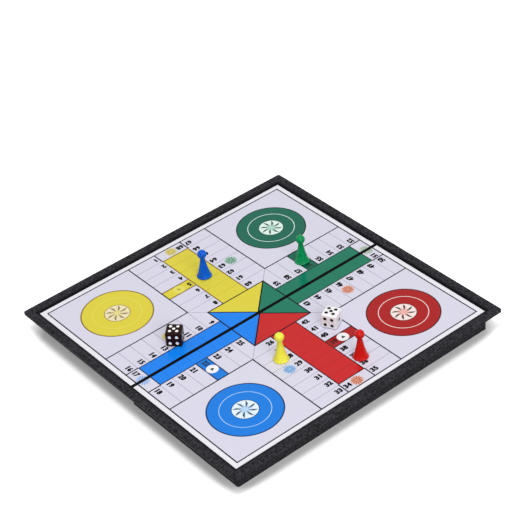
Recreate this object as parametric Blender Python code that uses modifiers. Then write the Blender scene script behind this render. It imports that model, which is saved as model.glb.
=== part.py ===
"""Folding ludo board box: two hollow trays joined by a hinge along the fold line.

The board lies open and flat. X runs along the fold line, Y across it and Z up.
The origin is on the table, under the middle of the fold line.
Each half is a black moulded tray with a rim that overhangs its walls, a steel
plate and a printed sheet in its top recess, and a hollow below that stores the
pawns and dice when the board is folded. The back tray swings down about the
hinge pins and closes under the front tray.
"""

import math

import bmesh
import bpy

# Driving sizes of the board, in metres
BOARD_SIDE = 0.2500
BOARD_HEIGHT = 0.0179
RIM_OVERHANG = 0.0080
RIM_THICKNESS = 0.00225
RIM_WIDTH = 0.0085
RIM_FLAT = 0.0040
RIM_RISE = 0.0019
RIM_CORNER = 0.0018
RIM_EDGE_ROUND = 0.0002
RECESS_STEP = 0.0005
WALL = 0.0020
TOP_PLATE = 0.0016
BODY_CORNER = 0.0015
FLARE_WIDTH = 0.0020
FLARE_HEIGHT = 0.0020
FOLD_LIP = 0.00045
RIB_THICKNESS = 0.0010
RIB_HEIGHT = 0.0014
RIB_COUNT = 3

# Clearances between pieces, and how far a cutter runs past what it cuts
FIT = 0.0003
SWING_FIT = 0.0003
OVERRUN = 0.0020
SINK = 0.0002

# Steel plate and printed sheet of one half
STEEL_THICKNESS = 0.0004
SHEET_THICKNESS = 0.0004

# Hinge, whose place is a share of half the board's side
PIN_RADIUS = 0.0008
KNUCKLE_WALL = 0.0008
FIXED_KNUCKLE_LENGTH = 0.0080
MOVING_KNUCKLE_LENGTH = 0.0100
HINGE_PLACE_SHARE = 0.68
HINGE_BLOCK_DEPTH = 0.0025
HINGE_BLOCK_HEIGHT = 0.0070
PIN_END_RECESS = 0.0006

# Closure magnets in the outer long walls, placed by a share of half the board's side
CLOSURE_MAGNET_RADIUS = 0.0030
CLOSURE_MAGNET_THICKNESS = 0.0025
CLOSURE_MAGNET_PLACE_SHARE = 0.56
CLOSURE_BOSS_WALL = 0.0012
CLOSURE_MAGNET_RECESS = 0.0001

# Pawns
PAWN_HEIGHT = 0.0238
PAWN_BASE_RADIUS = 0.0058
PAWN_HEAD_RADIUS = 0.00355
PAWN_NECK_RADIUS = 0.0020
PAWN_FOOT_ROUND = 0.0008
PAWN_MAGNET_RADIUS = 0.0038
PAWN_MAGNET_THICKNESS = 0.0015

# Dice
DIE_SIDE = 0.0120
DIE_ROUND = 0.0014
PIP_RADIUS = 0.0011
PIP_DEPTH = 0.0004
PIP_OFFSET_SHARE = 0.22

# Places of the loose pieces on the play surface, as shares of half the board's side
PAWN_PLACE_SHARES = {
    "blue": (-0.006, 0.510),
    "green": (0.505, 0.197),
    "yellow": (-0.183, -0.418),
    "red": (0.151, -0.720),
}
DIE_PLACE_SHARES = {
    "dark": (-0.514, 0.138),
    "white": (0.229, -0.387),
}
DIE_TURN_DEGREES = {"dark": -46.2, "white": -63.5}

# Facets
CORNER_SEGMENTS = 6
EDGE_SEGMENTS = 2
BARREL_SEGMENTS = 24
DISC_SEGMENTS = 32
PAWN_SEGMENTS = 28
HEAD_ARC_POINTS = 9
SKIRT_POINTS = 7
FOOT_ARC_POINTS = 3
DIE_SEGMENTS = 3
PIP_SEGMENTS = 12
ROUND_PROFILE = 0.5
SHARP_ANGLE_DEGREES = 30
WELD_DISTANCE = 0.00001

# Sizes that follow from the driving ones
HALF_BOARD = BOARD_SIDE / 2
HINGE_OFFSET = HALF_BOARD * HINGE_PLACE_SHARE
CLOSURE_MAGNET_OFFSET = HALF_BOARD * CLOSURE_MAGNET_PLACE_SHARE
HALF_BODY = HALF_BOARD - RIM_OVERHANG
HALF_CAVITY = HALF_BODY - WALL
HALF_RECESS = HALF_BOARD - RIM_WIDTH
HALF_SHEET = HALF_RECESS - FIT
HALF_CREST = HALF_BOARD - RIM_FLAT
PRINT_TOP = BOARD_HEIGHT - RIM_RISE
SHEET_BOTTOM = PRINT_TOP - SHEET_THICKNESS
STEEL_TOP = SHEET_BOTTOM - FIT
STEEL_BOTTOM = STEEL_TOP - STEEL_THICKNESS
RECESS_FLOOR = STEEL_BOTTOM - FIT
PLATE_BOTTOM = RECESS_FLOOR - TOP_PLATE
RIM_BOTTOM = BOARD_HEIGHT - RIM_THICKNESS
FOLD_FACE = FIT / 2
FOLD_WALL_INNER = FOLD_FACE + WALL
RECESS_FOLD_SIDE = FOLD_FACE + FOLD_LIP
SHEET_FOLD_SIDE = RECESS_FOLD_SIDE + FIT
PIN_BORE = PIN_RADIUS + FIT / 2
BARREL_RADIUS = PIN_BORE + KNUCKLE_WALL
AXIS_HEIGHT = BARREL_RADIUS
NOTCH_RADIUS = BARREL_RADIUS + SWING_FIT
MEETING_HEIGHT = AXIS_HEIGHT + FIT / 2
LIP = (WALL - SWING_FIT) / 2
LAP_HEIGHT = 2 * AXIS_HEIGHT + SWING_FIT
CLOSURE_POCKET_RADIUS = CLOSURE_MAGNET_RADIUS + FIT
CLOSURE_BOSS_RADIUS = CLOSURE_POCKET_RADIUS + CLOSURE_BOSS_WALL
CLOSURE_BOSS_SINK = WALL / 4
PIECE_SEAT = PRINT_TOP + FIT
BEVEL_START = PRINT_TOP + RECESS_STEP

PLASTIC = ("black_plastic", (0.030, 0.030, 0.034, 1), 0.55, 0.0)
STEEL = ("bright_steel", (0.60, 0.60, 0.62, 1), 0.30, 1.0)
MAGNET = ("plated_magnet", (0.55, 0.55, 0.57, 1), 0.25, 1.0)
PAPER = ("printed_sheet", (0.74, 0.72, 0.82, 1), 0.25, 0.0)
PAWN_COLOURS = {
    "blue": (0.010, 0.110, 0.700, 1),
    "green": (0.005, 0.300, 0.080, 1),
    "yellow": (0.900, 0.760, 0.020, 1),
    "red": (0.700, 0.015, 0.010, 1),
}
DIE_COLOURS = {
    "dark": (0.018, 0.008, 0.006, 1),
    "white": (0.800, 0.800, 0.800, 1),
}


def clear_scene():
    for item in list(bpy.data.objects):
        bpy.data.objects.remove(item)


def new_collection(name):
    collection = bpy.data.collections.new(name)
    bpy.context.scene.collection.children.link(collection)
    return collection


def material(name, colour, roughness, metallic):
    found = bpy.data.materials.get(name)
    if found:
        return found
    made = bpy.data.materials.new(name)
    made.use_nodes = True
    shader = made.node_tree.nodes["Principled BSDF"]
    shader.inputs["Base Color"].default_value = colour
    shader.inputs["Roughness"].default_value = roughness
    shader.inputs["Metallic"].default_value = metallic
    made.diffuse_color = colour
    return made


def add_mesh(name, shape, collection, finish=None):
    """Turn a bmesh into an object of the given collection."""
    mesh = bpy.data.meshes.new(name)
    shape.to_mesh(mesh)
    shape.free()
    made = bpy.data.objects.new(name, mesh)
    collection.objects.link(made)
    if finish:
        mesh.materials.append(material(*finish))
    return made


def as_cutter(made):
    made.hide_render = True
    made.display_type = "WIRE"
    return made


def box_shape(low, high):
    """A box between two corners, each given as (x, y, z)."""
    shape = bmesh.new()
    bmesh.ops.create_cube(shape, size=1)
    for vertex in shape.verts:
        for axis in range(3):
            vertex.co[axis] = high[axis] if vertex.co[axis] > 0 else low[axis]
    return shape


def half_slab(side, half_width, inner, outer, bottom, top, corner=0, grow=0, edge_round=0):
    """A slab of one half of the board, from the fold side out to the outer long side.

    side is -1 for the front half and +1 for the back half. The two outer vertical
    edges are rounded by corner. grow widens the top on its three outer sides, and
    edge_round softens the top and bottom edges of those sides.
    """
    low_y, high_y = sorted((side * inner, side * outer))
    shape = box_shape((-half_width, low_y, bottom), (half_width, high_y, top))
    if corner > 0:
        uprights = [
            edge
            for edge in shape.edges
            if abs(edge.verts[0].co.z - edge.verts[1].co.z) > (top - bottom) / 2
            and side * edge.verts[0].co.y > (inner + outer) / 2
        ]
        bmesh.ops.bevel(
            shape, geom=uprights, offset=corner, segments=CORNER_SEGMENTS,
            profile=ROUND_PROFILE, affect="EDGES",
        )
    if edge_round > 0:
        rims = [
            edge
            for edge in shape.edges
            if abs(edge.verts[0].co.z - edge.verts[1].co.z) < edge_round
            and max(side * vertex.co.y for vertex in edge.verts) > inner + edge_round
        ]
        bmesh.ops.bevel(
            shape, geom=rims, offset=edge_round, segments=EDGE_SEGMENTS,
            profile=ROUND_PROFILE, affect="EDGES",
        )
    if grow > 0:
        for vertex in shape.verts:
            if vertex.co.z > (bottom + top) / 2:
                vertex.co.x += math.copysign(grow, vertex.co.x)
                if side * vertex.co.y > (inner + outer) / 2:
                    vertex.co.y += side * grow
    return shape


def cylinder_shape(radius, length, segments):
    """A cylinder on the Z axis, centred on the origin."""
    shape = bmesh.new()
    bmesh.ops.create_cone(
        shape, cap_ends=True, segments=segments,
        radius1=radius, radius2=radius, depth=length,
    )
    return shape


def move_shape(shape, x, y, z):
    bmesh.ops.translate(shape, verts=shape.verts, vec=(x, y, z))
    return shape


def lay_along_x(shape):
    """Turn a shape on the Z axis so that it lies on the X axis."""
    for vertex in shape.verts:
        vertex.co.x, vertex.co.z = vertex.co.z, -vertex.co.x
    return shape


def merged(shapes):
    """One bmesh that holds several closed shapes."""
    whole = bmesh.new()
    for shape in shapes:
        carrier = bpy.data.meshes.new("carrier")
        shape.to_mesh(carrier)
        shape.free()
        whole.from_mesh(carrier)
        bpy.data.meshes.remove(carrier)
    return whole


def boolean(target, shape, operation, name, cutters):
    """Cut a shape out of an object, or join it on."""
    tool = as_cutter(add_mesh(name, shape, cutters))
    modifier = target.modifiers.new(name, "BOOLEAN")
    modifier.operation = operation
    modifier.object = tool
    modifier.solver = "EXACT"


def knuckle_spans(moving):
    """The stretches along X that the fixed or the moving knuckles take."""
    middle = MOVING_KNUCKLE_LENGTH / 2
    spans = []
    for centre in (-HINGE_OFFSET, HINGE_OFFSET):
        if moving:
            spans.append((centre - middle, centre + middle))
        else:
            near = middle + SWING_FIT
            far = near + FIXED_KNUCKLE_LENGTH
            spans.append((centre - far, centre - near))
            spans.append((centre + near, centre + far))
    return spans


def rod_shape(span, radius, margin=0):
    low, high = span
    rod = lay_along_x(cylinder_shape(radius, high - low + 2 * margin, BARREL_SEGMENTS))
    return move_shape(rod, (low + high) / 2, 0, AXIS_HEIGHT)


def lap_cutter(side):
    """What is cut from the foot of the three outer walls, so that the trays overlap when shut.

    The front tray keeps the outer part of its wall and the back tray the inner part.
    """
    bottom = -OVERRUN
    if side < 0:
        outer = half_slab(
            side, HALF_BODY - LIP, -OVERRUN, HALF_BODY - LIP, bottom, LAP_HEIGHT, BODY_CORNER - LIP
        )
        core_half = HALF_CAVITY - SINK
    else:
        outer = half_slab(
            side, HALF_BODY + OVERRUN, -OVERRUN, HALF_BODY + OVERRUN, bottom, LAP_HEIGHT
        )
        core_half = HALF_CAVITY + LIP
    core = half_slab(
        side, core_half, -2 * OVERRUN, core_half, 2 * bottom, LAP_HEIGHT + OVERRUN,
        BODY_CORNER - (HALF_BODY - core_half),
    )
    return outer, core


def make_tray(name, side, parts, cutters):
    """One moulded half: walls, overhanging rim, recessed top and hinge knuckles."""
    body = half_slab(side, HALF_BODY, FOLD_FACE, HALF_BODY, 0, RIM_BOTTOM + SINK, BODY_CORNER)
    tray = add_mesh(name, body, parts, PLASTIC)

    flare = half_slab(
        side, HALF_BODY - SINK, FOLD_FACE, HALF_BODY - SINK,
        RIM_BOTTOM - FLARE_HEIGHT, RIM_BOTTOM + SINK, BODY_CORNER, FLARE_WIDTH + SINK,
    )
    boolean(tray, flare, "UNION", name + "_flare", cutters)
    rim = half_slab(
        side, HALF_BOARD, FOLD_FACE, HALF_BOARD, RIM_BOTTOM, BOARD_HEIGHT, RIM_CORNER,
        0, RIM_EDGE_ROUND,
    )
    boolean(tray, rim, "UNION", name + "_rim", cutters)

    recess = half_slab(
        side, HALF_RECESS, RECESS_FOLD_SIDE, HALF_RECESS, RECESS_FLOOR, BOARD_HEIGHT + OVERRUN
    )
    boolean(tray, recess, "DIFFERENCE", name + "_recess", cutters)
    opening = half_slab(
        side, HALF_RECESS, -OVERRUN, HALF_RECESS, PRINT_TOP, BOARD_HEIGHT + OVERRUN
    )
    boolean(tray, opening, "DIFFERENCE", name + "_opening", cutters)
    slope = (HALF_CREST - HALF_RECESS) / (BOARD_HEIGHT - BEVEL_START)
    bevel_top = BOARD_HEIGHT + OVERRUN
    bevel = half_slab(
        side, HALF_RECESS, -OVERRUN, HALF_RECESS, BEVEL_START, bevel_top,
        0, slope * (bevel_top - BEVEL_START),
    )
    boolean(tray, bevel, "DIFFERENCE", name + "_bevel", cutters)

    cavity = half_slab(
        side, HALF_CAVITY, FOLD_WALL_INNER, HALF_CAVITY, -OVERRUN, PLATE_BOTTOM, BODY_CORNER - WALL
    )
    boolean(tray, cavity, "DIFFERENCE", name + "_cavity", cutters)
    ribs = []
    for index in range(RIB_COUNT):
        across = (2 * (index + 1) / (RIB_COUNT + 1) - 1) * HALF_CAVITY
        low_y, high_y = sorted((side * (FOLD_WALL_INNER - SINK), side * (HALF_CAVITY + SINK)))
        ribs.append(
            box_shape(
                (across - RIB_THICKNESS / 2, low_y, PLATE_BOTTOM - RIB_HEIGHT),
                (across + RIB_THICKNESS / 2, high_y, PLATE_BOTTOM + SINK),
            )
        )
    boolean(tray, merged(ribs), "UNION", name + "_ribs", cutters)

    low_y, high_y = sorted((-side * OVERRUN, side * (FOLD_WALL_INNER + OVERRUN)))
    foot = box_shape(
        (-HALF_CAVITY, low_y, -OVERRUN), (HALF_CAVITY, high_y, MEETING_HEIGHT)
    )
    boolean(tray, foot, "DIFFERENCE", name + "_fold_foot", cutters)

    own = knuckle_spans(side > 0)
    other = knuckle_spans(side < 0)
    blocks = []
    hinge_half = MOVING_KNUCKLE_LENGTH / 2 + SWING_FIT + FIXED_KNUCKLE_LENGTH
    for centre in (-HINGE_OFFSET, HINGE_OFFSET):
        low_y, high_y = sorted(
            (side * (FOLD_WALL_INNER - SINK), side * (FOLD_WALL_INNER + HINGE_BLOCK_DEPTH))
        )
        blocks.append(
            box_shape(
                (centre - hinge_half, low_y, MEETING_HEIGHT),
                (centre + hinge_half, high_y, MEETING_HEIGHT + HINGE_BLOCK_HEIGHT),
            )
        )
    boolean(tray, merged(blocks), "UNION", name + "_hinge_blocks", cutters)
    notches = merged([rod_shape(span, NOTCH_RADIUS, SWING_FIT) for span in other])
    boolean(tray, notches, "DIFFERENCE", name + "_notches", cutters)
    barrels = merged([rod_shape(span, BARREL_RADIUS) for span in own])
    boolean(tray, barrels, "UNION", name + "_knuckles", cutters)
    bores = merged([rod_shape(span, PIN_BORE, OVERRUN) for span in own])
    boolean(tray, bores, "DIFFERENCE", name + "_pin_bores", cutters)

    bosses = []
    pockets = []
    for place in (-CLOSURE_MAGNET_OFFSET, CLOSURE_MAGNET_OFFSET):
        boss_height = PLATE_BOTTOM + SINK - MEETING_HEIGHT
        boss = cylinder_shape(CLOSURE_BOSS_RADIUS, boss_height, DISC_SEGMENTS)
        bosses.append(
            move_shape(boss, place, side * closure_magnet_y(), MEETING_HEIGHT + boss_height / 2)
        )
        depth = CLOSURE_MAGNET_RECESS + CLOSURE_MAGNET_THICKNESS + FIT
        pocket = cylinder_shape(CLOSURE_POCKET_RADIUS, depth + OVERRUN, DISC_SEGMENTS)
        pocket_middle = MEETING_HEIGHT + (depth - OVERRUN) / 2
        pockets.append(move_shape(pocket, place, side * closure_magnet_y(), pocket_middle))
    boolean(tray, merged(bosses), "UNION", name + "_bosses", cutters)
    boolean(tray, merged(pockets), "DIFFERENCE", name + "_magnet_pockets", cutters)

    lap, core = lap_cutter(side)
    lap_tool = as_cutter(add_mesh(name + "_lap", lap, cutters))
    boolean(lap_tool, core, "DIFFERENCE", name + "_lap_core", cutters)
    cut = tray.modifiers.new(name + "_lap", "BOOLEAN")
    cut.operation = "DIFFERENCE"
    cut.object = lap_tool
    cut.solver = "EXACT"
    return tray


def closure_magnet_y():
    """How far the closure magnets stand from the fold line."""
    return HALF_CAVITY + CLOSURE_BOSS_SINK - CLOSURE_BOSS_RADIUS


def make_plate(name, side, bottom, top, finish, parts):
    """A flat sheet that fills the recess of one half."""
    return add_mesh(
        name, half_slab(side, HALF_SHEET, SHEET_FOLD_SIDE, HALF_SHEET, bottom, top), parts, finish
    )


def make_hinge_pin(name, centre, parts):
    length = 2 * (MOVING_KNUCKLE_LENGTH / 2 + SWING_FIT + FIXED_KNUCKLE_LENGTH - PIN_END_RECESS)
    pin = add_mesh(name, lay_along_x(cylinder_shape(PIN_RADIUS, length, BARREL_SEGMENTS)), parts, STEEL)
    pin.location = (centre, 0, AXIS_HEIGHT)
    pin.data.shade_smooth()
    pin.data.set_sharp_from_angle(angle=math.radians(SHARP_ANGLE_DEGREES))
    return pin


def make_disc(name, radius, thickness, place, parts, finish):
    disc = add_mesh(name, cylinder_shape(radius, thickness, DISC_SEGMENTS), parts, finish)
    disc.location = place
    disc.data.shade_smooth()
    disc.data.set_sharp_from_angle(angle=math.radians(SHARP_ANGLE_DEGREES))
    return disc


def pawn_profile():
    """Half outline of a pawn, down its outer side and into the magnet pocket."""
    head_centre = PAWN_HEIGHT - PAWN_HEAD_RADIUS
    neck_angle = math.asin(PAWN_NECK_RADIUS / PAWN_HEAD_RADIUS)
    points = []
    for index in range(HEAD_ARC_POINTS):
        turn = (math.pi - neck_angle) * index / (HEAD_ARC_POINTS - 1)
        points.append(
            (PAWN_HEAD_RADIUS * math.sin(turn), head_centre + PAWN_HEAD_RADIUS * math.cos(turn))
        )
    neck_height = points[-1][1]
    for index in range(1, SKIRT_POINTS):
        share = index / SKIRT_POINTS
        swell = math.sin(share * math.pi) * PAWN_FOOT_ROUND / 2
        radius = PAWN_NECK_RADIUS + (PAWN_BASE_RADIUS - PAWN_NECK_RADIUS) * share + swell
        points.append((radius, neck_height + (PAWN_FOOT_ROUND - neck_height) * share))
    for index in range(FOOT_ARC_POINTS + 1):
        turn = math.pi / 2 * index / FOOT_ARC_POINTS
        points.append(
            (
                PAWN_BASE_RADIUS - PAWN_FOOT_ROUND * (1 - math.cos(turn)),
                PAWN_FOOT_ROUND * (1 - math.sin(turn)),
            )
        )
    pocket_radius = PAWN_MAGNET_RADIUS + FIT
    pocket_depth = PAWN_MAGNET_THICKNESS + FIT
    points.append((pocket_radius, 0))
    points.append((pocket_radius, pocket_depth))
    points.append((0, pocket_depth))
    return points


def make_pawn(colour, parts):
    """A turned pawn with a ball head, a skirt and a pocket for its magnet."""
    mesh = bpy.data.meshes.new("pawn_" + colour)
    points = pawn_profile()
    edges = [(index, index + 1) for index in range(len(points) - 1)]
    mesh.from_pydata([(radius, 0, height) for radius, height in points], edges, [])
    mesh.materials.append(material("pawn_" + colour, PAWN_COLOURS[colour], 0.2, 0.0))
    pawn = bpy.data.objects.new("pawn_" + colour, mesh)
    parts.objects.link(pawn)
    turned = pawn.modifiers.new("turned", "SCREW")
    turned.angle = 2 * math.pi
    turned.steps = PAWN_SEGMENTS
    turned.render_steps = PAWN_SEGMENTS
    turned.use_merge_vertices = True
    turned.merge_threshold = WELD_DISTANCE
    turned.use_smooth_shade = True
    across, along = PAWN_PLACE_SHARES[colour]
    pawn.location = (across * HALF_BOARD, along * HALF_BOARD, PIECE_SEAT)
    magnet_middle = PIECE_SEAT + PAWN_MAGNET_THICKNESS / 2
    make_disc(
        "pawn_magnet_" + colour, PAWN_MAGNET_RADIUS, PAWN_MAGNET_THICKNESS,
        (across * HALF_BOARD, along * HALF_BOARD, magnet_middle), parts, MAGNET,
    )


def pip_places(count):
    """Where the pips of one face lie, in units of the pip offset."""
    diagonal = [(-1, 1), (1, -1)]
    corners = diagonal + [(1, 1), (-1, -1)]
    rows = [(-1, 0), (1, 0)]
    middle = [(0, 0)]
    return {
        1: middle,
        2: diagonal,
        3: diagonal + middle,
        4: corners,
        5: corners + middle,
        6: corners + rows,
    }[count]


def pip_cutter():
    """The dimples of all six faces: five on top, four in front and one on the right."""
    faces = (
        (5, "Z", 1), (2, "Z", -1),
        (4, "Y", -1), (3, "Y", 1),
        (1, "X", 1), (6, "X", -1),
    )
    shapes = []
    reach = DIE_SIDE / 2
    for count, axis, sign in faces:
        for first, second in pip_places(count):
            pip = cylinder_shape(PIP_RADIUS, 2 * PIP_DEPTH, PIP_SEGMENTS)
            spread = PIP_OFFSET_SHARE * DIE_SIDE
            for vertex in pip.verts:
                across, along, out = vertex.co
                across += first * spread
                along += second * spread
                out = sign * (reach + out)
                if axis == "Z":
                    vertex.co = (across, along, out)
                elif axis == "Y":
                    vertex.co = (across, out, along)
                else:
                    vertex.co = (out, across, along)
            bmesh.ops.recalc_face_normals(pip, faces=pip.faces)
            shapes.append(pip)
    return merged(shapes)


def make_die(colour, parts, cutters):
    """A cube with rounded edges and dimpled pips."""
    shape = bmesh.new()
    bmesh.ops.create_cube(shape, size=DIE_SIDE)
    bmesh.ops.bevel(
        shape, geom=shape.edges[:], offset=DIE_ROUND, segments=DIE_SEGMENTS,
        profile=ROUND_PROFILE, affect="EDGES",
    )
    finish = ("die_" + colour, DIE_COLOURS[colour], 0.3, 0.0)
    die = add_mesh("die_" + colour, shape, parts, finish)
    cutter = as_cutter(add_mesh("die_" + colour + "_pips", pip_cutter(), cutters))
    cut = die.modifiers.new("pips", "BOOLEAN")
    cut.operation = "DIFFERENCE"
    cut.object = cutter
    cut.solver = "EXACT"
    across, along = DIE_PLACE_SHARES[colour]
    place = (across * HALF_BOARD, along * HALF_BOARD, PIECE_SEAT + DIE_SIDE / 2)
    turn = math.radians(DIE_TURN_DEGREES[colour])
    for item in (die, cutter):
        item.location = place
        item.rotation_euler = (0, 0, turn)


def main():
    clear_scene()
    parts = new_collection("folding_ludo_board_box")
    cutters = new_collection("cutters")

    for name, side in (("front", -1), ("back", 1)):
        make_tray(name + "_tray", side, parts, cutters)
        make_plate(name + "_steel_plate", side, STEEL_BOTTOM, STEEL_TOP, STEEL, parts)
        make_plate(name + "_print_sheet", side, SHEET_BOTTOM, PRINT_TOP, PAPER, parts)
        magnet_middle = MEETING_HEIGHT + CLOSURE_MAGNET_RECESS + CLOSURE_MAGNET_THICKNESS / 2
        for end, sign in (("left", -1), ("right", 1)):
            make_disc(
                name + "_closure_magnet_" + end, CLOSURE_MAGNET_RADIUS, CLOSURE_MAGNET_THICKNESS,
                (sign * CLOSURE_MAGNET_OFFSET, side * closure_magnet_y(), magnet_middle),
                parts, MAGNET,
            )

    make_hinge_pin("hinge_pin_left", -HINGE_OFFSET, parts)
    make_hinge_pin("hinge_pin_right", HINGE_OFFSET, parts)
    for colour in PAWN_PLACE_SHARES:
        make_pawn(colour, parts)
    for colour in DIE_PLACE_SHARES:
        make_die(colour, parts, cutters)


main()
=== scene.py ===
"""Looks of the folding ludo board box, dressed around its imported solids.

Units are metres. X runs along the fold line, Y towards the back half and Z up.
The print is drawn in its own units: 1 is half the side of the printed square,
u runs along X and v along Y, and each half of the drawing ends at the fold line.
"""

import math

import bmesh
import bpy
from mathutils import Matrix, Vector
from mathutils.geometry import delaunay_2d_cdt


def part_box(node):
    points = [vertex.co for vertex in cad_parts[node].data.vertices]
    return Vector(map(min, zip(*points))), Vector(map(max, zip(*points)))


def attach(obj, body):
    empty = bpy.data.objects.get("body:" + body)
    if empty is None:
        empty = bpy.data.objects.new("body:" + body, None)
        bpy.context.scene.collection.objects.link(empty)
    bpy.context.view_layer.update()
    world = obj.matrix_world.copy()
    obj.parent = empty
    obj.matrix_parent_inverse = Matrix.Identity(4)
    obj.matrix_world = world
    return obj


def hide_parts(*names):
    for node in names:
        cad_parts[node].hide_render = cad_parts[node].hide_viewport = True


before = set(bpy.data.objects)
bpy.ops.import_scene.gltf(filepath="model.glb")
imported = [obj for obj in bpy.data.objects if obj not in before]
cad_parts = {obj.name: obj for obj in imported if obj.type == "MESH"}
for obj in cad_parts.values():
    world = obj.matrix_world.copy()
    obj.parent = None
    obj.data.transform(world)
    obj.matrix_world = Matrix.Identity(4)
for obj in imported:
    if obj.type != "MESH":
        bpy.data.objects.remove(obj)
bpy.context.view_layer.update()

# Camera of the photograph
CAMERA_PLACE = (-0.59330, -0.81360, 0.81573)
CAMERA_TURN_DEGREES = (53.042, 4.529, -39.834)
CAMERA_LENS_MM = 120.45
CAMERA_SENSOR_MM = 36.0
CAMERA_CLIP_START = 0.05

# Inks of the print, as they look on the paper (red, green, blue from 0 to 255)
INKS = {
    "margin": (238, 237, 244),
    "paper": (221, 219, 235),
    "line": (22, 20, 30),
    "step": (172, 169, 188),
    "digit": (6, 6, 10),
    "fold": (8, 8, 10),
    "white": (248, 246, 248),
    "yellow": (226, 212, 62),
    "green": (14, 122, 94),
    "red": (204, 30, 32),
    "blue": (14, 132, 244),
    "deep_green": (4, 104, 82),
    "deep_red": (174, 16, 18),
    "deep_blue": (14, 126, 228),
    "dark_yellow": (178, 160, 44),
    "dark_green": (4, 88, 66),
    "dark_red": (158, 20, 26),
    "dark_blue": (6, 98, 196),
    "edge_yellow": (138, 108, 44),
    "edge_green": (8, 60, 44),
    "edge_red": (86, 14, 20),
    "edge_blue": (8, 52, 104),
    "disc_yellow": (240, 228, 184),
    "disc_green": (228, 250, 242),
    "disc_red": (250, 232, 228),
    "disc_blue": (230, 246, 255),
    "star_yellow": (232, 220, 140),
    "star_green": (166, 216, 194),
    "star_red": (244, 174, 164),
    "star_blue": (172, 212, 247),
    "petal_yellow": (150, 126, 84),
    "petal_green": (48, 80, 66),
    "petal_red": (84, 44, 40),
    "petal_blue": (62, 88, 118),
    "rosette_yellow": (226, 214, 112),
    "rosette_green": (136, 186, 158),
    "rosette_red": (230, 156, 122),
    "rosette_blue": (152, 194, 238),
    "vein_yellow": (184, 166, 56),
    "vein_green": (76, 134, 108),
    "vein_red": (182, 84, 54),
    "vein_blue": (92, 142, 206),
    "pale_yellow": (234, 224, 96),
    "rosette_pale_green": (190, 204, 186),
    "rosette_pale_blue": (182, 204, 240),
    "vein_pale_green": (142, 162, 138),
    "vein_pale_blue": (126, 166, 226),
}
ARM_INKS = ("red", "green", "yellow", "blue")
DEEP_INKS = {"green": "deep_green", "red": "deep_red", "blue": "deep_blue"}
START_DISC_INKS = {"yellow": "pale_yellow"}
START_MARK_INKS = {"yellow": "vein_yellow"}
START_DIGIT_INKS = {"red": "edge_red", "green": "edge_green", "blue": "edge_blue"}
RING_INKS = {"yellow": "pale_yellow", "blue": "star_blue"}
BLACK_INKS = ("line", "digit", "fold")

# Layout of the print
BORDER = 0.963
ARM = 0.3205
LANE = 0.1063
CENTRE = 0.228
CELLS = (0.232, 0.323, 0.415, 0.506, 0.5975, 0.689, 0.780, 0.8716, 0.963)
START_CELL = 3
LINE_WIDTH = 0.0088
STEP_WIDTH = 0.0042
FOLD_WIDTH = 0.0100
HOME_PLACE = 0.642
HOME_RADIUS = 0.2375
HOME_RING = 0.1603
HOME_DISC = 0.0812
HOME_DISC_EDGE = 0.0045
HOME_RING_WIDTH = 0.0048
LANE_STEP_WIDTH = STEP_WIDTH / 2
DIGIT_HEIGHT = 0.0398
DIGIT_WIDTH = 0.0250
DIGIT_STRETCH = 0.88
DIGIT_WEIGHT = 0.050
DIGIT_SWELL = 0.05
DIGIT_EDGE = 0.118
DIGIT_SHIFT = 0.0043
END_DIGIT_PLACE = -0.072
ROSETTE_PLACE = 0.220
ROSETTE_RADIUS = 0.046
ROSETTE_LEAVES = 13
START_DISC_PLACE = 0.213
START_DISC_RADIUS = 0.0395
START_DISC_POINTS = 48
START_MARK_SIDE = 0.0145
START_MARK_FOOT = 0.010
START_MARK_TIP = 0.015
FIRST_NUMBER = 26
NUMBERS_PER_ARM = 17
LAST_NUMBER = 68
CIRCLE_POINTS = 96
LEAF_STEPS = 3
POINTS_APART = 1e-5
LEAST_AREA = 1e-7
CROSSING_REACH = 1e-6

# Black plastic of the trays: noises in spots a metre, shades from 0 to 255, lengths in metres.
# A bump is its strength and its depth.
TRAY_SPOTS = 700.0
TRAY_GRAIN = 2300.0
TRAY_SHADES = ((12, 12, 15), (63, 63, 69))
TRAY_ROUGHNESS = (0.42, 0.56)
TRAY_SPECULAR = 0.04
TRAY_BUMP = (0.7, 0.00012)
# Painted shade in the groove where the rim meets the print: its colour, its span outward from the
# recess, and its depth below the recess top
GROOVE_PAINTED_SHADE = (9, 9, 12)
GROOVE_SPAN = (0.0013, 0.0031)
GROOVE_DEPTH = 0.0004

# Film over the print
FILM_SPOTS = 140.0
FILM_WAVES = 260.0
FILM_ROUGHNESS = (0.12, 0.19)
FILM_BUMP = (0.35, 0.00002)
INK_SPECULAR = 0.18
BLACK_INK_SPECULAR = 0.05

# Other finishes: strength of their bumps, and share of the light that goes below a pawn's skin
FINISH_BUMP = 0.6
GLOW_WEIGHT = 0.7

# Edges and curves of the dressed pieces, in metres and degrees
WELD_REACH = 0.000005
EASE_WIDTH = 0.00018
EASE_SEGMENTS = 2
EASE_ANGLE_DEGREES = 40
SMOOTH_DEGREES = {"tray": 35, "pawn": 40, "die": 28, "metal": 30}
PAWN_FOOT_RADIUS = 0.0058
PAWN_HEAD_RADIUS = 0.00355
PAWN_HEAD_STEPS = 24
PAWN_SKIRT_STEPS = 4
PAWN_TURN_STEPS = 64
POCKET_GAP = 0.0002
POCKET_DEPTH = 0.0017
DIE_ROUND = 0.0014
DIE_ROUND_SEGMENTS = 6
PIP_BALL_SEGMENTS = (40, 28)


def linear(colour):
    """A colour given from 0 to 255 as the linear value that shows like it."""
    shares = [part / 255 for part in colour]
    return tuple(s / 12.92 if s <= 0.04045 else ((s + 0.055) / 1.055) ** 2.4 for s in shares) + (1,)


# Materials


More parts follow.
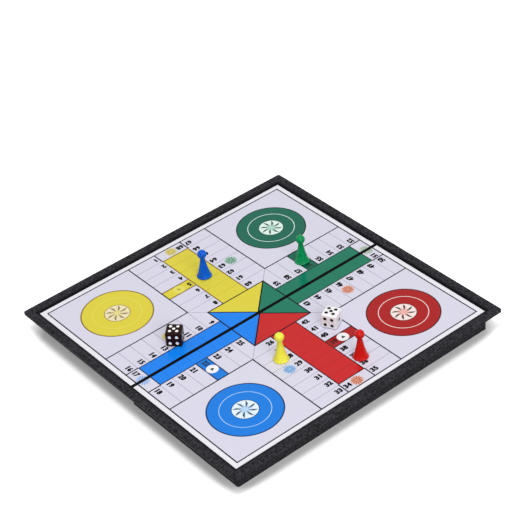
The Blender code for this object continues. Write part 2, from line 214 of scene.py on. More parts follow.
class Nodes:
    """Short ways to add and link the nodes of one material."""

    def __init__(self, name):
        self.material = bpy.data.materials.new(name)
        self.material.use_nodes = True
        self.tree = self.material.node_tree
        self.shader = self.tree.nodes["Principled BSDF"]
        self.place = self.add("ShaderNodeTexCoord").outputs["Object"]

    def add(self, kind, **settings):
        node = self.tree.nodes.new(kind)
        for key, value in settings.items():
            if hasattr(node, key):
                setattr(node, key, value)
            else:
                self.feed(value, node.inputs[key.replace("_", " ")])
        return node

    def feed(self, value, socket):
        if isinstance(value, bpy.types.NodeSocket):
            self.tree.links.new(value, socket)
        else:
            socket.default_value = value

    def noise(self, scale, detail=2.0, stretch=(1, 1, 1)):
        """A noise of that many spots a metre, stretched along an axis where asked."""
        place = self.add("ShaderNodeMapping", Scale=stretch)
        self.feed(self.place, place.inputs["Vector"])
        noise = self.add("ShaderNodeTexNoise", Scale=scale, Detail=detail)
        self.feed(place.outputs["Vector"], noise.inputs["Vector"])
        return noise.outputs["Fac"]

    def span(self, value, low, high, start=0.3, end=0.7):
        """value from start to end becomes low to high."""
        ranged = self.add("ShaderNodeMapRange")
        self.feed(value, ranged.inputs["Value"])
        for name, number in (("From Min", start), ("From Max", end), ("To Min", low), ("To Max", high)):
            ranged.inputs[name].default_value = number
        return ranged.outputs["Result"]

    def blend(self, factor, first, second):
        mix = self.add("ShaderNodeMix", data_type="RGBA")
        self.feed(factor, mix.inputs[0])
        self.feed(first, mix.inputs[6])
        self.feed(second, mix.inputs[7])
        return mix.outputs[2]

    def bump(self, height, strength, distance):
        bump = self.add("ShaderNodeBump", Strength=strength, Distance=distance)
        self.feed(height, bump.inputs["Height"])
        self.feed(bump.outputs["Normal"], self.shader.inputs["Normal"])


def varied(name, colour, spread=0.06, spots=220.0, rough=(0.3, 0.4), metallic=0.0,
           grain=1500.0, relief=0.00002, stretch=(1, 1, 1), specular=0.5, depth=0.0):
    """A finish whose colour, gloss and surface vary a little from spot to spot."""
    nodes = Nodes(name)
    soft = nodes.noise(spots, 3.0, stretch)
    fine = nodes.noise(grain, 2.0, stretch)
    low = tuple(part * (1 - spread) for part in colour[:3]) + (1,)
    high = tuple(min(1, part * (1 + spread)) for part in colour[:3]) + (1,)
    shade = nodes.blend(nodes.span(soft, 0, 1), low, high)
    nodes.feed(shade, nodes.shader.inputs["Base Color"])
    nodes.feed(nodes.span(fine, rough[0], rough[1]), nodes.shader.inputs["Roughness"])
    nodes.shader.inputs["Metallic"].default_value = metallic
    nodes.shader.inputs["Specular IOR Level"].default_value = specular
    if depth:
        nodes.shader.inputs["Subsurface Weight"].default_value = GLOW_WEIGHT
        nodes.shader.inputs["Subsurface Radius"].default_value = (1, 1, 1)
        nodes.shader.inputs["Subsurface Scale"].default_value = depth
    nodes.bump(fine, FINISH_BUMP, relief)
    return nodes.material


def tray_plastic():
    """Black moulded plastic with a coarse grain, and painted shade that darkens the groove where the rim
    meets the print.
    """
    nodes = Nodes("black_plastic")
    spots = nodes.noise(TRAY_SPOTS)
    grain = nodes.noise(TRAY_GRAIN)
    shade = nodes.blend(nodes.span(spots, 0, 1), *(linear(shade) for shade in TRAY_SHADES))
    apart = nodes.add("ShaderNodeSeparateXYZ")
    nodes.feed(nodes.place, apart.inputs[0])
    sides = [nodes.add("ShaderNodeMath", operation="ABSOLUTE") for _ in range(2)]
    for side, axis in zip(sides, ("X", "Y")):
        nodes.feed(apart.outputs[axis], side.inputs[0])
    far = nodes.add("ShaderNodeMath", operation="MAXIMUM")
    nodes.feed(sides[0].outputs["Value"], far.inputs[0])
    nodes.feed(sides[1].outputs["Value"], far.inputs[1])
    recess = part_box("front_print_sheet")[1]
    # Painted shade: the plastic darkens towards the print's edge, just below the recess top
    groove = nodes.span(far.outputs["Value"], 1, 0, *(recess.x + out for out in GROOVE_SPAN))
    above = nodes.span(apart.outputs["Z"], 0, 1, recess.z - GROOVE_DEPTH, recess.z)
    both = nodes.add("ShaderNodeMath", operation="MULTIPLY")
    nodes.feed(groove, both.inputs[0])
    nodes.feed(above, both.inputs[1])
    shade = nodes.blend(both.outputs["Value"], shade, linear(GROOVE_PAINTED_SHADE))
    nodes.feed(shade, nodes.shader.inputs["Base Color"])
    nodes.feed(nodes.span(grain, *TRAY_ROUGHNESS), nodes.shader.inputs["Roughness"])
    nodes.shader.inputs["Specular IOR Level"].default_value = TRAY_SPECULAR
    nodes.bump(spots, *TRAY_BUMP)
    return nodes.material


def ink(name):
    """One printed colour under the sheet's film. The film's gloss and waves come from nodes."""
    nodes = Nodes("ink_" + name)
    nodes.shader.inputs["Base Color"].default_value = linear(INKS[name])
    specular = BLACK_INK_SPECULAR if name in BLACK_INKS else INK_SPECULAR
    nodes.shader.inputs["Specular IOR Level"].default_value = specular
    spots = nodes.noise(FILM_SPOTS, 3.0)
    nodes.feed(nodes.span(spots, *FILM_ROUGHNESS), nodes.shader.inputs["Roughness"])
    nodes.bump(nodes.noise(FILM_WAVES), *FILM_BUMP)
    return nodes.material


# Drawing of the print


def circle(u, v, radius, points=CIRCLE_POINTS):
    turns = [2 * math.pi * index / points for index in range(points)]
    return [(u + radius * math.cos(turn), v + radius * math.sin(turn)) for turn in turns]


def rectangle(low_u, low_v, high_u, high_v):
    return [(low_u, low_v), (high_u, low_v), (high_u, high_v), (low_u, high_v)]


def stroke(start, end, width=LINE_WIDTH):
    """A straight line with square ends."""
    a, b = Vector(start), Vector(end)
    along = (b - a).normalized() * (width / 2)
    across = Vector((-along.y, along.x))
    a -= along
    b += along
    return [tuple(point) for point in (a - across, b - across, b + across, a + across)]


def turned(points, quarter):
    """Points of the arm nearest the camera, moved on to the arm that many quarter turns further."""
    for _ in range(quarter):
        points = [(-v, u) for u, v in points]
    return points


def smooth_line(points, steps):
    """A smooth line through the points."""
    line = []
    for index in range(len(points) - 1):
        before = Vector(points[max(index - 1, 0)])
        start, end = Vector(points[index]), Vector(points[index + 1])
        after = Vector(points[min(index + 2, len(points) - 1)])
        for step in range(steps):
            t = step / steps
            bend = 2 * before - 5 * start + 4 * end - after
            twist = 3 * start - before - 3 * end + after
            line.append(0.5 * (2 * start + (end - before) * t + bend * t ** 2 + twist * t ** 3))
    line.append(Vector(points[-1]))
    return line


def digit_shapes():
    """The faces of each digit, scaled to a height of 1 and centred on its own width."""
    shapes = {}
    for digit in "0123456789":
        curve = bpy.data.curves.new("digit", "FONT")
        curve.body = digit
        curve.resolution_u = 3
        curve.offset = DIGIT_SWELL
        carrier = bpy.data.objects.new("digit", curve)
        bpy.context.scene.collection.objects.link(carrier)
        view = bpy.context.evaluated_depsgraph_get()
        mesh = bpy.data.meshes.new_from_object(carrier.evaluated_get(view))
        places = [vertex.co for vertex in mesh.vertices]
        low = min(place.y for place in places)
        height = max(place.y for place in places) - low
        middle = (min(place.x for place in places) + max(place.x for place in places)) / 2
        corners = [((place.x - middle) / height, (place.y - low) / height - 0.5) for place in places]
        shapes[digit] = [
            [(corners[i][0] + shift, corners[i][1]) for i in face.vertices]
            for face in mesh.polygons
            for shift in (-DIGIT_WEIGHT, DIGIT_WEIGHT)
        ]
        bpy.data.objects.remove(carrier)
        bpy.data.meshes.remove(mesh)
        bpy.data.curves.remove(curve)
    return shapes


def number(value, middle, level, digits):
    """Faces of a number that is centred on (middle, level)."""
    text = str(value)
    faces = []
    for index, digit in enumerate(text):
        place = middle + (index - (len(text) - 1) / 2) * DIGIT_WIDTH
        for face in digits[digit]:
            faces.append(
                [(place + u * DIGIT_HEIGHT * DIGIT_STRETCH, level + v * DIGIT_HEIGHT) for u, v in face]
            )
    return faces


def leaves(u, v, radius, outline, count=8, start=0.0):
    """Copies of one leaf, given along its own length, all round a centre."""
    faces = []
    centre = Vector((u, v))
    for index in range(count):
        turn = 2 * math.pi * (index + start) / count
        along = Vector((math.cos(turn), math.sin(turn)))
        across = Vector((-along.y, along.x))
        faces.append([tuple(centre + (along * far + across * wide) * radius) for far, wide in outline])
    return faces


def leaf_outline(one_side, other_side):
    """A leaf from two rows of points that both run from its foot to its tip."""
    return smooth_line(one_side, LEAF_STEPS) + smooth_line(other_side, LEAF_STEPS)[-2:0:-1]


def even_leaf(*one_side):
    """A leaf whose other side mirrors the one given."""
    return leaf_outline(one_side, [(far, -wide) for far, wide in one_side])


# Leaves of the print, along and across their own length
BROAD_LEAF = even_leaf((0.0, 0.0), (0.34, 0.08), (0.74, 0.14), (1.0, 0.0))
THIN_LEAF = even_leaf((0.12, 0.0), (0.40, 0.05), (0.64, 0.06), (0.88, 0.0))
STAR_RAY = even_leaf((0.0, 0.0), (0.26, 0.07), (0.60, 0.0))
BLADE = leaf_outline(
    ((0.20, 0.0), (0.40, 0.02), (0.70, 0.05), (0.97, 0.07)),
    ((0.20, 0.0), (0.42, -0.09), (0.68, -0.12), (0.97, 0.07)),
)


def draw_print():
    """The whole print as (outline, ink) pairs. A later pair lies over the earlier ones."""
    drawing = []

    def paint(outline, ink_name, quarter=0):
        drawing.append((turned(outline, quarter), ink_name))

    def frame_line(size):
        for half_side, ink_name in ((size + LINE_WIDTH / 2, "line"), (size - LINE_WIDTH / 2, "paper")):
            paint(rectangle(-half_side, -half_side, half_side, half_side), ink_name)

    def wrapped(value):
        """A number of the track, which starts again after its last one."""
        return (value - 1) % LAST_NUMBER + 1

    digits = digit_shapes()
    paint(rectangle(-1, -1, 1, 1), "margin")
    frame_line(BORDER)

    for quarter, colour in enumerate(ARM_INKS):
        home = (HOME_PLACE, -HOME_PLACE)
        deep = DEEP_INKS.get(colour, colour)
        paint(circle(*home, HOME_RADIUS), "edge_" + colour, quarter)
        paint(circle(*home, HOME_RADIUS - LINE_WIDTH), deep, quarter)
        paint(circle(*home, HOME_RING), RING_INKS.get(colour, "disc_" + colour), quarter)
        paint(circle(*home, HOME_RING - HOME_RING_WIDTH), deep, quarter)
        paint(circle(*home, HOME_DISC + HOME_DISC_EDGE), "edge_" + colour, quarter)
        paint(circle(*home, HOME_DISC), "disc_" + colour, quarter)
        for ray in leaves(*home, HOME_DISC, STAR_RAY, start=0.5):
            paint(ray, "star_" + colour, quarter)
        for blade in leaves(*home, HOME_DISC, BLADE):
            paint(blade, "petal_" + colour, quarter)

    for quarter, colour in enumerate(ARM_INKS):
        for level in CELLS[1:-1]:
            for sign in (-1, 1):
                paint(stroke((sign * LANE, -level), (sign * ARM, -level), STEP_WIDTH), "step", quarter)
        paint(stroke((CENTRE, -CENTRE), (ARM, -ARM), STEP_WIDTH), "step", quarter)
        low, high = CELLS[START_CELL], CELLS[START_CELL + 1]
        paint(rectangle(LANE, -high, ARM, -low), DEEP_INKS.get(colour, colour), quarter)
        for level in (low + LINE_WIDTH / 2, high - LINE_WIDTH / 2):
            paint(stroke((LANE, -level), (ARM, -level)), "edge_" + colour, quarter)
        paint(rectangle(-LANE, -CELLS[-2], LANE, -CENTRE), colour, quarter)
        for level in CELLS[1:-2]:
            paint(stroke((-LANE, -level), (LANE, -level), LANE_STEP_WIDTH), "dark_" + colour, quarter)
        inner, end = LANE - LINE_WIDTH / 2, CELLS[-2] - LINE_WIDTH / 2
        paint(stroke((-inner, -end), (inner, -end)), "edge_" + colour, quarter)
        for sign in (-1, 1):
            paint(stroke((sign * LANE, -CELLS[-2]), (sign * LANE, -BORDER)), "line", quarter)
            paint(stroke((sign * inner, -CENTRE), (sign * inner, -end)), "edge_" + colour, quarter)
            paint(stroke((sign * ARM, -ARM), (sign * ARM, -BORDER)), "line", quarter)

    for quarter, colour in enumerate(ARM_INKS):
        paint([(0, 0), (-CENTRE, -CENTRE), (CENTRE, -CENTRE)], colour, quarter)
    for quarter in range(4):
        paint(stroke((0, 0), (CENTRE, -CENTRE)), "line", quarter)
        paint(stroke((-CENTRE, -CENTRE), (CENTRE, -CENTRE)), "line", quarter)

    left_rosettes = ("blue", "red", "green", "yellow")
    end_rosettes = ("red", "pale_green", "yellow", "pale_blue")
    middles = [(CELLS[index] + CELLS[index + 1]) / 2 for index in range(len(CELLS) - 1)]
    for quarter, colour in enumerate(ARM_INKS):
        first = FIRST_NUMBER + NUMBERS_PER_ARM * quarter
        last = first + NUMBERS_PER_ARM - 1
        for index, level in enumerate(middles):
            for sign, value in ((-1, wrapped(first + index)), (1, wrapped(last - index))):
                width = len(str(value)) * DIGIT_WIDTH
                on_start = index == START_CELL and sign > 0
                digit_ink = START_DIGIT_INKS.get(colour, "digit") if on_start else "digit"
                for face in number(value, sign * (DIGIT_EDGE + width / 2), DIGIT_SHIFT - level, digits):
                    paint(face, digit_ink, quarter)
        end_value = wrapped(first + len(middles))
        for face in number(end_value, END_DIGIT_PLACE, DIGIT_SHIFT - middles[-1], digits):
            paint(face, "digit", quarter)
        flowers = (
            (-ROSETTE_PLACE, -middles[START_CELL], left_rosettes[quarter]),
            (0, -middles[-1], end_rosettes[quarter]),
        )
        for u, v, tint in flowers:
            for outline, kind in ((BROAD_LEAF, "rosette_"), (THIN_LEAF, "vein_")):
                for leaf in leaves(u, v, ROSETTE_RADIUS, outline, ROSETTE_LEAVES):
                    paint(leaf, kind + tint, quarter)
        u, v = START_DISC_PLACE, -middles[START_CELL]
        disc = START_DISC_INKS.get(colour, "white")
        paint(circle(u, v, START_DISC_RADIUS, START_DISC_POINTS), disc, quarter)
        foot = v - START_MARK_FOOT
        mark = [(u - START_MARK_SIDE, foot), (u + START_MARK_SIDE, foot), (u, v + START_MARK_TIP)]
        paint(mark, START_MARK_INKS.get(colour, "digit"), quarter)
    paint(rectangle(-1, -FOLD_WIDTH / 2, 1, FOLD_WIDTH / 2), "fold")
    return drawing


def clipped(outline, side):
    """The part of an outline on one side of the fold line, with v counted from it."""
    kept = []
    for index, (u, v) in enumerate(outline):
        last_u, last_v = outline[index - 1]
        inside, was_inside = side * v >= 0, side * last_v >= 0
        if inside != was_inside:
            share = last_v / (last_v - v)
            kept.append((last_u + (u - last_u) * share, 0.0))
        if inside:
            kept.append((u, v))
    return [
        point for index, point in enumerate(kept)
        if math.dist(point, kept[index - 1]) > POINTS_APART
    ]


def area(outline):
    """The area of an outline, below zero where it runs clockwise."""
    total = 0
    for index, (u, v) in enumerate(outline):
        total += outline[index - 1][0] * v - u * outline[index - 1][1]
    return total / 2


def print_half(half, side, drawing, inks, card):
    """One half of the print: a thin closed sheet whose top is divided into the printed areas."""
    low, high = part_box(half + "_print_sheet")
    scale = high.x
    gap = (low.y if side > 0 else -high.y) / scale
    corners = []
    outlines = []
    colours = []
    for outline, ink_name in drawing:
        part = clipped(outline, side)
        if len(part) < 3 or abs(area(part)) < LEAST_AREA:
            continue
        if area(part) < 0:
            part.reverse()
        outlines.append(list(range(len(corners), len(corners) + len(part))))
        corners.extend(Vector(point) for point in part)
        colours.append(ink_name)
    places, _, faces, _, _, sources = delaunay_2d_cdt(corners, [], outlines, 1, CROSSING_REACH)

    names = list(inks)
    mesh = bpy.data.meshes.new(half + "_print")
    shape = bmesh.new()
    points = []
    for u, v in places:
        fold_v = side * (gap + (1 - gap) * abs(v))
        points.append(shape.verts.new((u * scale, fold_v * scale, high.z)))
    for corners_of_face, over in zip(faces, sources):
        if not over:
            continue
        face = shape.faces.new([points[index] for index in corners_of_face])
        face.normal_update()
        if face.normal.z < 0:
            face.normal_flip()
        face.material_index = names.index(colours[max(over)])
    loose = [vertex for vertex in shape.verts if not vertex.link_faces]
    bmesh.ops.delete(shape, geom=loose, context="VERTS")
    rims = [edge for edge in shape.edges if edge.is_boundary]
    made = bmesh.ops.extrude_edge_only(shape, edges=rims)["geom"]
    for item in made:
        if isinstance(item, bmesh.types.BMVert):
            item.co.z = low.z
        # Painted shade: the sheet's pale cut edges take the black fold ink, so the gap at the fold reads
        # dark
        if isinstance(item, bmesh.types.BMFace):
            item.material_index = names.index("fold")
    lower = [item for item in made if isinstance(item, bmesh.types.BMEdge) and item.is_boundary]
    for face in bmesh.ops.edgeloop_fill(shape, edges=lower)["faces"]:
        face.material_index = len(names)
    bmesh.ops.recalc_face_normals(shape, faces=shape.faces)
    shape.to_mesh(mesh)
    shape.free()
    for name in names:
        mesh.materials.append(inks[name])
    mesh.materials.append(card)
    sheet = bpy.data.objects.new(half + "_print", mesh)
    bpy.context.scene.collection.objects.link(sheet)
    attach(sheet, half)
    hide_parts(half + "_print_sheet")


# Moulded and turned pieces


def smooth(mesh, kind):
    """Shade a mesh smooth, except over edges that turn further than its kind of piece allows."""
    mesh.shade_smooth()
    mesh.set_sharp_from_angle(angle=math.radians(SMOOTH_DEGREES[kind]))


def settled(piece):
    """Apply the piece's modifiers to its mesh."""
    view = bpy.context.evaluated_depsgraph_get()
    mesh = bpy.data.meshes.new_from_object(piece.evaluated_get(view))
    piece.modifiers.clear()
    old = piece.data
    piece.data = mesh
    bpy.data.meshes.remove(old)


def even(piece):
    """Keep the piece's flat faces flat in their shading, beside its rounded edges."""
    weighted = piece.modifiers.new("even", "WEIGHTED_NORMAL")
    weighted.keep_sharp = True
    settled(piece)


def dressed_tray(half, finish):
    """The tray's own solid with its sharp edges eased, as a mould leaves them."""
    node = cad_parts[half + "_tray"]
    mesh = node.data.copy()
    mesh.materials.clear()
    mesh.materials.append(finish)
    tray = bpy.data.objects.new(half + "_tray_shell", mesh)
    bpy.context.scene.collection.objects.link(tray)
    weld = tray.modifiers.new("weld", "WELD")
    weld.merge_threshold = WELD_REACH
    ease = tray.modifiers.new("ease", "BEVEL")
    ease.width = EASE_WIDTH
    ease.segments = EASE_SEGMENTS
    ease.limit_method = "ANGLE"
    ease.angle_limit = math.radians(EASE_ANGLE_DEGREES)
    ease.use_clamp_overlap = True
    ease.miter_outer = "MITER_ARC"
    settled(tray)
    smooth(tray.data, "tray")
    even(tray)
    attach(tray, half)
    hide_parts(half + "_tray")


MM_PER_METRE = 1000
PAWN_OUTLINE_MM = (
    (1.78, 17.00), (1.84, 16.2), (2.16, 14.0), (2.62, 11.5), (3.14, 9.0), (3.78, 6.2),
    (4.58, 3.4), (5.32, 1.5), (5.68, 0.85), (5.80, 0.50), (5.66, 0.16), (5.30, 0.0),
)


def pawn(colour, body, finish):
    """A turned pawn: ball head, waisted neck, swelling skirt and rounded foot."""
    low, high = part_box("pawn_" + colour)
    foot = (high.x - low.x) / 2
    height = high.z - low.z
    size = foot / PAWN_FOOT_RADIUS
    head = PAWN_HEAD_RADIUS * size
    head_middle = height - head
    points = []
    neck = PAWN_OUTLINE_MM[0][0] / MM_PER_METRE * size
    last = math.pi - math.asin(neck / head)
    for index in range(PAWN_HEAD_STEPS + 1):
        turn = last * index / PAWN_HEAD_STEPS
        points.append((head * math.sin(turn), head_middle + head * math.cos(turn)))
    outline = [tuple(length / MM_PER_METRE * size for length in pair) for pair in PAWN_OUTLINE_MM]
    points.extend(tuple(point) for point in smooth_line(outline, PAWN_SKIRT_STEPS)[1:])
    magnet_low, magnet_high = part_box("pawn_magnet_" + colour)
    pocket = (magnet_high.x - magnet_low.x) / 2 + POCKET_GAP
    points.extend([(pocket, 0.0), (pocket, POCKET_DEPTH), (0.0, POCKET_DEPTH)])
    mesh = bpy.data.meshes.new("pawn_" + colour)
    edges = [(index, index + 1) for index in range(len(points) - 1)]
    mesh.from_pydata([(radius, 0, level) for radius, level in points], edges, [])
    mesh.materials.append(finish)
    piece = bpy.data.objects.new("turned_pawn_" + colour, mesh)
    bpy.context.scene.collection.objects.link(piece)
    turning = piece.modifiers.new("turned", "SCREW")
    turning.angle = 2 * math.pi
    turning.steps = PAWN_TURN_STEPS
    turning.render_steps = PAWN_TURN_STEPS
    turning.use_merge_vertices = True
    turning.merge_threshold = WELD_REACH
    turning.use_normal_calculate = True
    settled(piece)
    smooth(piece.data, "pawn")
    piece.location = ((low.x + high.x) / 2, (low.y + high.y) / 2, low.z)
    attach(piece, body)
    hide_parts("pawn_" + colour)


DIE_TURN_DEGREES = {"dark": -46.2, "white": -63.5}
PIP_SPREAD = 0.22
PIP_RADII = {"dark": 0.00120, "white": 0.00135}
PIP_DEPTH = 0.00045
PIPS = {
    1: [(0, 0)],
    2: [(-1, 1), (1, -1)],
    3: [(-1, 1), (1, -1), (0, 0)],
    4: [(-1, 1), (1, -1), (1, 1), (-1, -1)],
    5: [(-1, 1), (1, -1), (1, 1), (-1, -1), (0, 0)],
    6: [(-1, 1), (1, -1), (1, 1), (-1, -1), (-1, 0), (1, 0)],
}
DIE_FACES = ((5, 2, 1), (2, 2, -1), (4, 1, -1), (3, 1, 1), (1, 0, 1), (6, 0, -1))


def die(colour, body, finish, pip_finish):
    """A cube with rounded edges and shallow painted pips."""
    low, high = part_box("die_" + colour)
    side = high.z - low.z
    shape = bmesh.new()
    bmesh.ops.create_cube(shape, size=side)
    bmesh.ops.bevel(
        shape, geom=shape.edges[:], offset=DIE_ROUND, segments=DIE_ROUND_SEGMENTS, profile=0.5,
        affect="EDGES"
    )
    mesh = bpy.data.meshes.new("die_" + colour)
    shape.to_mesh(mesh)
    shape.free()
    mesh.materials.append(finish)
    mesh.materials.append(pip_finish)
    piece = bpy.data.objects.new("rounded_die_" + colour, mesh)
    bpy.context.scene.collection.objects.link(piece)

    radius = (PIP_RADII[colour] ** 2 + PIP_DEPTH ** 2) / (2 * PIP_DEPTH)
    rounds, rows = PIP_BALL_SEGMENTS
    tool_shape = bmesh.new()
    for count, axis, sign in DIE_FACES:
        for first, second in PIPS[count]:
            place = [first * PIP_SPREAD * side, second * PIP_SPREAD * side]
            place.insert(axis, sign * (side / 2 - PIP_DEPTH + radius))
            ball = bmesh.ops.create_uvsphere(
                tool_shape, u_segments=rounds, v_segments=rows, radius=radius
            )
            bmesh.ops.translate(tool_shape, verts=ball["verts"], vec=place)
    tool_mesh = bpy.data.meshes.new("pips")
    tool_shape.to_mesh(tool_mesh)
    tool_shape.free()
    tool_mesh.materials.append(pip_finish)
    tool = bpy.data.objects.new("pips", tool_mesh)
    bpy.context.scene.collection.objects.link(tool)
    cut = piece.modifiers.new("pips", "BOOLEAN")
    cut.operation = "DIFFERENCE"
    cut.solver = "EXACT"
    cut.material_mode = "TRANSFER"
    cut.object = tool
    cut.use_self = True
    settled(piece)
    bpy.data.objects.remove(tool)
    smooth(piece.data, "die")
    even(piece)
    piece.location = (low + high) / 2
    piece.rotation_euler = (0, 0, math.radians(DIE_TURN_DEGREES[colour]))
    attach(piece, body)
    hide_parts("die_" + colour)


# Everything in place

drawing = draw_print()
inks = {name: ink(name) for name in INKS}
card = varied("card", linear((232, 228, 222)), spread=0.05, spots=400.0, rough=(0.7, 0.85))
print_half("front", -1, drawing, inks, card)
print_half("back", 1, drawing, inks, card)

black = tray_plastic()
for half in ("front", "back"):
    dressed_tray(half, black)

PAWN_COLOURS = {
    "blue": (0, 98, 214),
    "green": (0, 150, 88),
    "yellow": (255, 238, 78),
    "red": (214, 22, 16),
}
for colour, shade in PAWN_COLOURS.items():
    glossy = varied(
        "pawn_" + colour, linear(shade), spread=0.05, spots=160.0, rough=(0.16, 0.24), grain=700.0,
        relief=0.00001, specular=0.15, depth=0.002
    )
    pawn(colour, colour + "_pawn", glossy)

paint_look = {"spots": 500.0, "rough": (0.4, 0.5)}
white_paint = varied("white_pip", linear((255, 253, 250)), spread=0.02, specular=0.2, **paint_look)
black_paint = varied("black_pip", linear((8, 8, 12)), spread=0.10, specular=0.1, **paint_look)
polished = {"spots": 260.0, "rough": (0.14, 0.22)}
dark_finish = varied("die_dark", linear((38, 15, 11)), spread=0.12, specular=0.07, **polished)
white_finish = varied("die_white", linear((248, 247, 250)), spread=0.02, specular=0.4, **polished)
die("dark", "dark_die", dark_finish, white_paint)
die("white", "white_die", white_finish, black_paint)

steel = varied(
    "bright_steel", (0.60, 0.60, 0.62), spread=0.10, spots=500.0, rough=(0.22, 0.38), metallic=1.0,
    grain=1800.0, relief=0.000008, stretch=(1, 12, 12)
)
plated = varied(
    "plated_magnet", (0.62, 0.60, 0.57), spread=0.08, spots=400.0, rough=(0.12, 0.24), metallic=1.0,
    grain=1200.0, relief=0.000006
)
for name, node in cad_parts.items():
    if "magnet" in name or "steel" in name or "pin" in name:
        node.data.materials.clear()
        node.data.materials.append(plated if "magnet" in name else steel)
        if "plate" not in name:
            smooth(node.data, "metal")

# Floor, light and camera

# A white floor that glows more further out. Next to the object the lamps' own shadow falls on it, and a
# painted soft shadow darkens it further
FLOOR_SIZE = 3.0
FLOOR_ROUGHNESS = 0.9
FLOOR_GLOW = 0.45
GLOW_START = 0.25
GLOW_END = 0.80
NEAR_REACH = 0.04
NEAR_SPAN = (0.44, 0.67)
NEAR_SAMPLES = 16
NEAR_PAINTED_SHADOW = (0.62, 0.62, 0.62, 1)
NEAR_GLOW = 0.4
UNDER_REACH = 0.25
UNDER_OPEN = 0.985
UNDER_SAMPLES = 48
WHITE = (1, 1, 1, 1)

# Light from the surroundings at each height of its direction, from straight down (-1) to straight up (1)
SKY = ((-1.0, 1.3), (-0.7, 0.8), (-0.4, 0.18), (0.0, 0.22), (0.4, 0.42), (1.0, 0.43))

# Lamps, all aimed at the board's middle: name, place, width in metres and power in watts
LAMPS = (
    ("key", (-0.45, -0.46, 2.92), 1.0, 36.5),
    ("fill", (-0.60, -2.55, 1.5), 1.7, 33.0),
)

floor_shape = bmesh.new()
bmesh.ops.create_grid(floor_shape, x_segments=1, y_segments=1, size=FLOOR_SIZE)
floor_mesh = bpy.data.meshes.new("floor")
floor_shape.to_mesh(floor_mesh)
floor_shape.free()
floor = bpy.data.objects.new("floor", floor_mesh)
bpy.context.scene.collection.objects.link(floor)
floor.visible_diffuse = False
floor.visible_shadow = False
paint = Nodes("floor")
paint.shader.inputs["Roughness"].default_value = FLOOR_ROUGHNESS
paint.shader.inputs["Specular IOR Level"].default_value = 0.0
# Painted shadow: ambient occlusion darkens the floor's colour and lowers its glow close to the object
near = paint.add("ShaderNodeAmbientOcclusion", samples=NEAR_SAMPLES)
near.inputs["Distance"].default_value = NEAR_REACH
clear = paint.span(near.outputs["AO"], 0.0, 1.0, *NEAR_SPAN)
paint.feed(paint.blend(clear, NEAR_PAINTED_SHADOW, WHITE), paint.shader.inputs["Base Color"])
paint.shader.inputs["Emission Color"].default_value = WHITE
reach = paint.add("ShaderNodeVectorMath", operation="LENGTH")
paint.feed(paint.place, reach.inputs[0])
glow = paint.span(reach.outputs["Value"], FLOOR_GLOW, 1.0, GLOW_START, GLOW_END)
open_glow = paint.add("ShaderNodeMath", operation="MULTIPLY")
paint.feed(glow, open_glow.inputs[0])
paint.feed(paint.span(clear, NEAR_GLOW, 1.0, 0.0, 1.0), open_glow.inputs[1])
paint.feed(open_glow.outputs["Value"], paint.shader.inputs["Emission Strength"])
# The floor is open from behind and over whatever a folded or lifted piece takes under it
under = paint.add("ShaderNodeAmbientOcclusion", inside=True, samples=UNDER_SAMPLES)
under.inputs["Distance"].default_value = UNDER_REACH
opened = paint.add("ShaderNodeMath", operation="MAXIMUM")
paint.feed(paint.span(under.outputs["AO"], 1.0, 0.0, UNDER_OPEN, 1.0), opened.inputs[0])
paint.feed(paint.add("ShaderNodeNewGeometry").outputs["Backfacing"], opened.inputs[1])
both = paint.add("ShaderNodeMixShader")
paint.feed(opened.outputs["Value"], both.inputs[0])
paint.feed(paint.shader.outputs["BSDF"], both.inputs[1])
paint.feed(paint.add("ShaderNodeBsdfTransparent").outputs["BSDF"], both.inputs[2])
paint.feed(both.outputs["Shader"], paint.tree.nodes["Material Output"].inputs["Surface"])
floor_mesh.materials.append(paint.material)

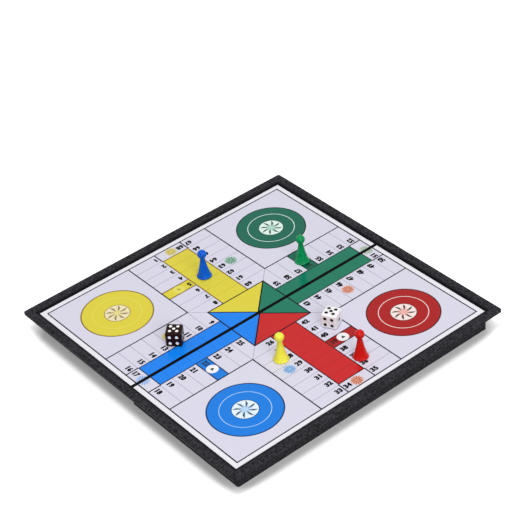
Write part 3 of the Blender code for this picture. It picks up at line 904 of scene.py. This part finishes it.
world = bpy.data.worlds.new("studio")
bpy.context.scene.world = world
world.use_nodes = True
links = world.node_tree.links
lit = world.node_tree.nodes["Background"]
lit.inputs["Color"].default_value = WHITE
heading = world.node_tree.nodes.new("ShaderNodeTexCoord")
parts = world.node_tree.nodes.new("ShaderNodeSeparateXYZ")
height = world.node_tree.nodes.new("ShaderNodeMapRange")
height.inputs["From Min"].default_value = -1.0
level = world.node_tree.nodes.new("ShaderNodeFloatCurve")
links.new(heading.outputs["Generated"], parts.inputs[0])
links.new(parts.outputs["Z"], height.inputs["Value"])
links.new(height.outputs["Result"], level.inputs["Value"])
curve = level.mapping.curves[0]
while len(curve.points) < len(SKY):
    curve.points.new(0.5, 0.5)
for point, (up, strength) in zip(curve.points, SKY):
    point.location = ((up + 1) / 2, strength)
    point.handle_type = "VECTOR"
level.mapping.use_clip = False
level.mapping.update()
links.new(level.outputs["Value"], lit.inputs["Strength"])
shown = world.node_tree.nodes.new("ShaderNodeBackground")
shown.inputs["Color"].default_value = WHITE
rays = world.node_tree.nodes.new("ShaderNodeLightPath")
pick = world.node_tree.nodes.new("ShaderNodeMixShader")
shows = rays.outputs["Is Camera Ray"]
for ray in ("Is Glossy Ray", "Is Transmission Ray"):
    either = world.node_tree.nodes.new("ShaderNodeMath")
    either.operation = "MAXIMUM"
    links.new(shows, either.inputs[0])
    links.new(rays.outputs[ray], either.inputs[1])
    shows = either.outputs["Value"]
links.new(shows, pick.inputs[0])
links.new(lit.outputs["Background"], pick.inputs[1])
links.new(shown.outputs["Background"], pick.inputs[2])
links.new(pick.outputs["Shader"], world.node_tree.nodes["World Output"].inputs["Surface"])

for name, place, size, power in LAMPS:
    data = bpy.data.lights.new(name, "AREA")
    data.shape = "DISK"
    data.size = size
    data.energy = power
    made = bpy.data.objects.new(name, data)
    made.location = place
    made.rotation_euler = (-Vector(place)).to_track_quat("-Z", "Y").to_euler()
    bpy.context.scene.collection.objects.link(made)

camera_data = bpy.data.cameras.new("camera")
camera_data.lens = CAMERA_LENS_MM
camera_data.sensor_width = CAMERA_SENSOR_MM
camera_data.clip_start = CAMERA_CLIP_START
camera = bpy.data.objects.new("camera", camera_data)
camera.location = CAMERA_PLACE
camera.rotation_euler = [math.radians(turn) for turn in CAMERA_TURN_DEGREES]
bpy.context.scene.collection.objects.link(camera)
bpy.context.scene.camera = camera
bpy.context.scene.view_settings.view_transform = "Standard"
